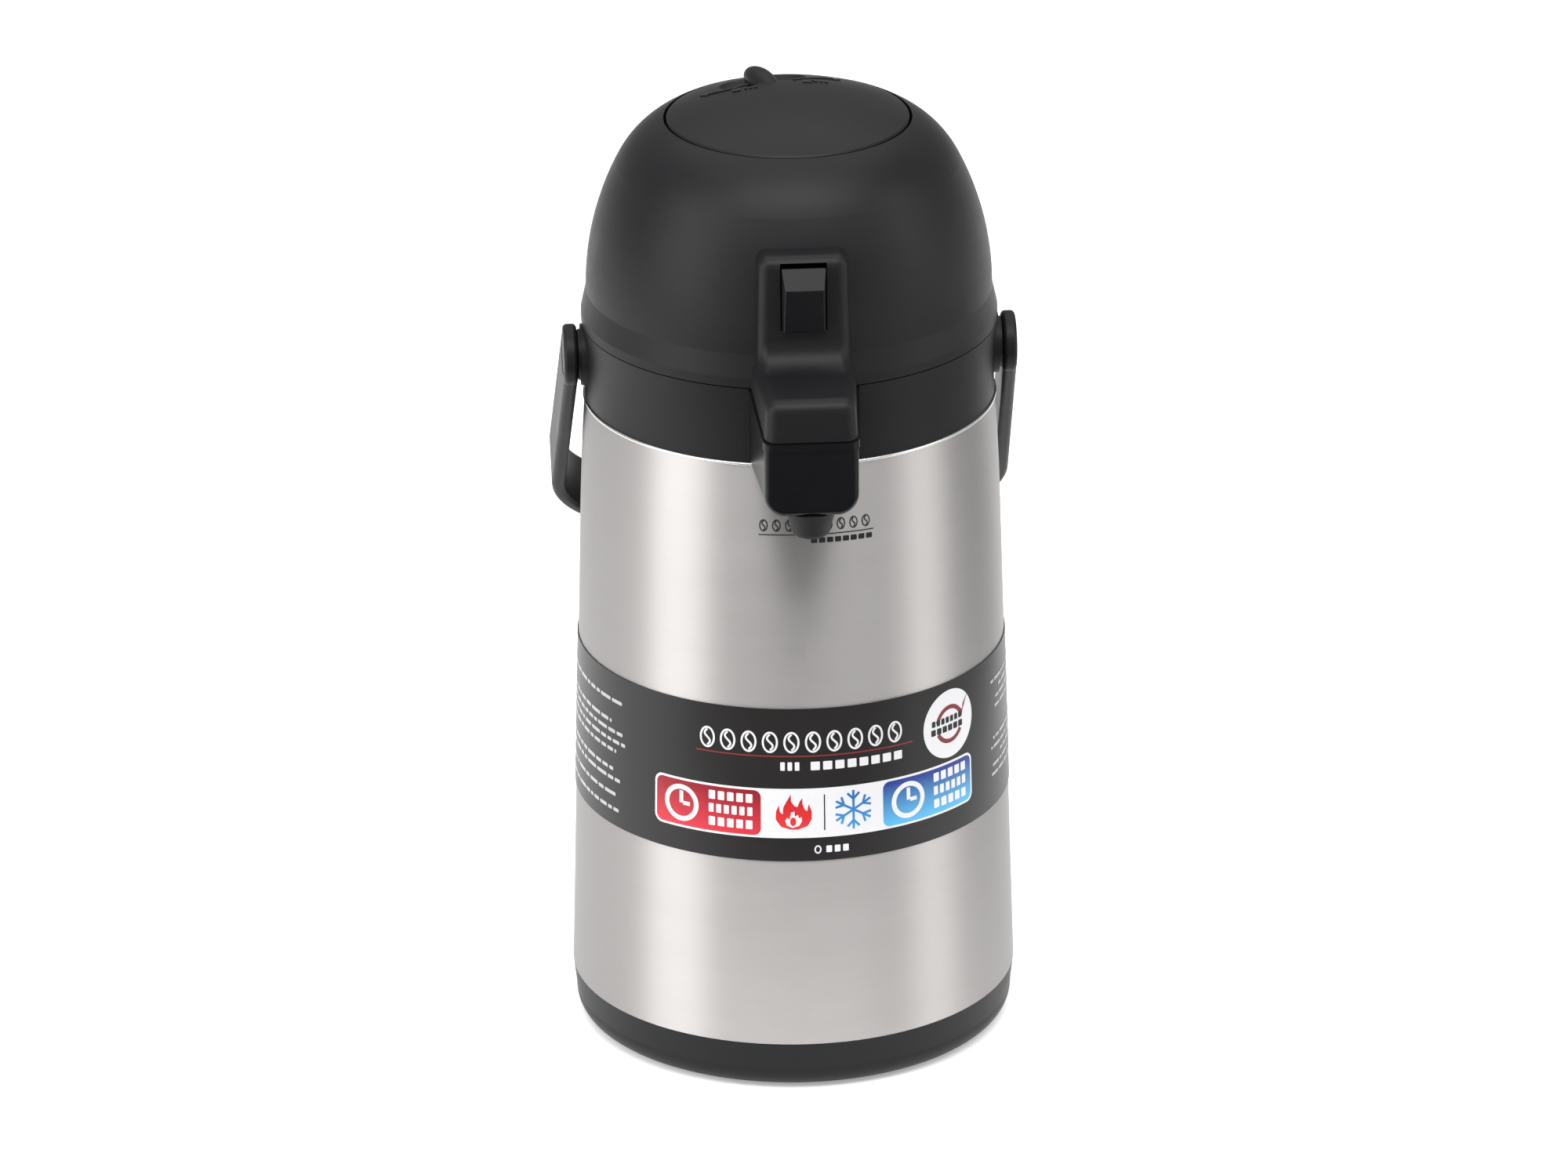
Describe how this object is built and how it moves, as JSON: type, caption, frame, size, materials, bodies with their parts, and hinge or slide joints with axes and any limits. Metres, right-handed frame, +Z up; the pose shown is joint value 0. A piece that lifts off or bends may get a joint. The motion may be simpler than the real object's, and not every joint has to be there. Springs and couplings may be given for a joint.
{
  "type": "pump airpot",
  "caption": "Thermal airpot: tapered steel vacuum flask with domed pump lid, round press button, front spout and latch, and a swinging bail handle.",
  "frame": {"origin": "on the pot's axis, at the surface it stands on", "axes": "+Z up along the pot; -Y towards the spout; +X to the right seen from the front"},
  "size_m": [0.1554, 0.194, 0.3296],
  "materials": {
    "black_plastic": "satin black, finely textured",
    "spout_plastic": "smooth satin black",
    "gloss_black": "glossy black",
    "white_plastic": "natural off-white",
    "brushed_steel": "fine brushed satin",
    "spring_steel": "bright stainless wire",
    "label_film": "printed glossy film",
    "silvered_glass": "silvered vacuum glass",
    "clear_tube": "natural translucent",
    "nozzle_rubber": "matt dark grey",
    "bellows_rubber": "soft moulded rubber",
    "black_rubber": "matt",
    "grey_rubber": "matt foam rubber",
    "seal_silicone": "translucent silicone"
  },
  "bodies": {
    "pot": {"base_cup": "black_plastic", "bottom_cap": "black_plastic", "foot_pads": "black_rubber", "liner_cushion": "grey_rubber", "liner_outer": "silvered_glass", "liner_inner": "silvered_glass", "steel_shell": "brushed_steel", "label_band": "label_film", "collar": "black_plastic", "neck_gasket": "seal_silicone", "shoulder_ring": "grey_rubber", "tube_holder": "white_plastic", "dip_tube": "clear_tube", "discharge_tube": "clear_tube", "spout_body": "spout_plastic", "spout_nozzle": "nozzle_rubber", "latch_catch": "spring_steel", "handle_pins": "black_plastic", "hinge_pin": "spring_steel", "deck_screws": "spring_steel"},
    "handle": {"handle_strap": "black_plastic"},
    "lid": {"dome_shell": "black_plastic", "lid_inner_cover": "white_plastic", "bellows_base": "white_plastic", "lid_gasket": "seal_silicone", "bellows": "bellows_rubber", "return_spring": "spring_steel", "latch_pin": "spring_steel", "cover_screws": "spring_steel"},
    "latch": {"latch_lever": "gloss_black", "latch_spring": "spring_steel"},
    "plunger": {"plunger_plate": "white_plastic", "air_valve": "seal_silicone"},
    "button": {"press_button": "black_plastic", "lock_ring": "white_plastic"}
  },
  "joints": [
    {"name": "handle_swing", "type": "hinge", "parent": "pot", "child": "handle", "pos_m": [0, 0, 0.2385], "axis": [1, 0, 0], "range_deg": [0, 268]},
    {"name": "lid_hinge", "type": "hinge", "parent": "pot", "child": "lid", "pos_m": [0, 0.0732, 0.2512], "axis": [-1, 0, 0], "range_deg": [0, 95]},
    {"name": "latch_press", "type": "hinge", "parent": "lid", "child": "latch", "pos_m": [0, -0.062, 0.268], "axis": [-1, 0, 0], "range_deg": [0, 9], "stiffness_Nm_per_rad": 0.6, "springref_deg": -14.32},
    {"name": "pump_press", "type": "slide", "parent": "lid", "child": "plunger", "axis": [0, 0, -1], "range_m": [0, 0.022], "stiffness_N_per_m": 400, "springref_m": -0.02, "deforming": ["bellows", "return_spring"]},
    {"name": "button_turn", "type": "hinge", "parent": "plunger", "child": "button", "pos_m": [0, 0, 0.31], "axis": [0, 0, -1], "range_deg": [0, 40]}
  ]
}
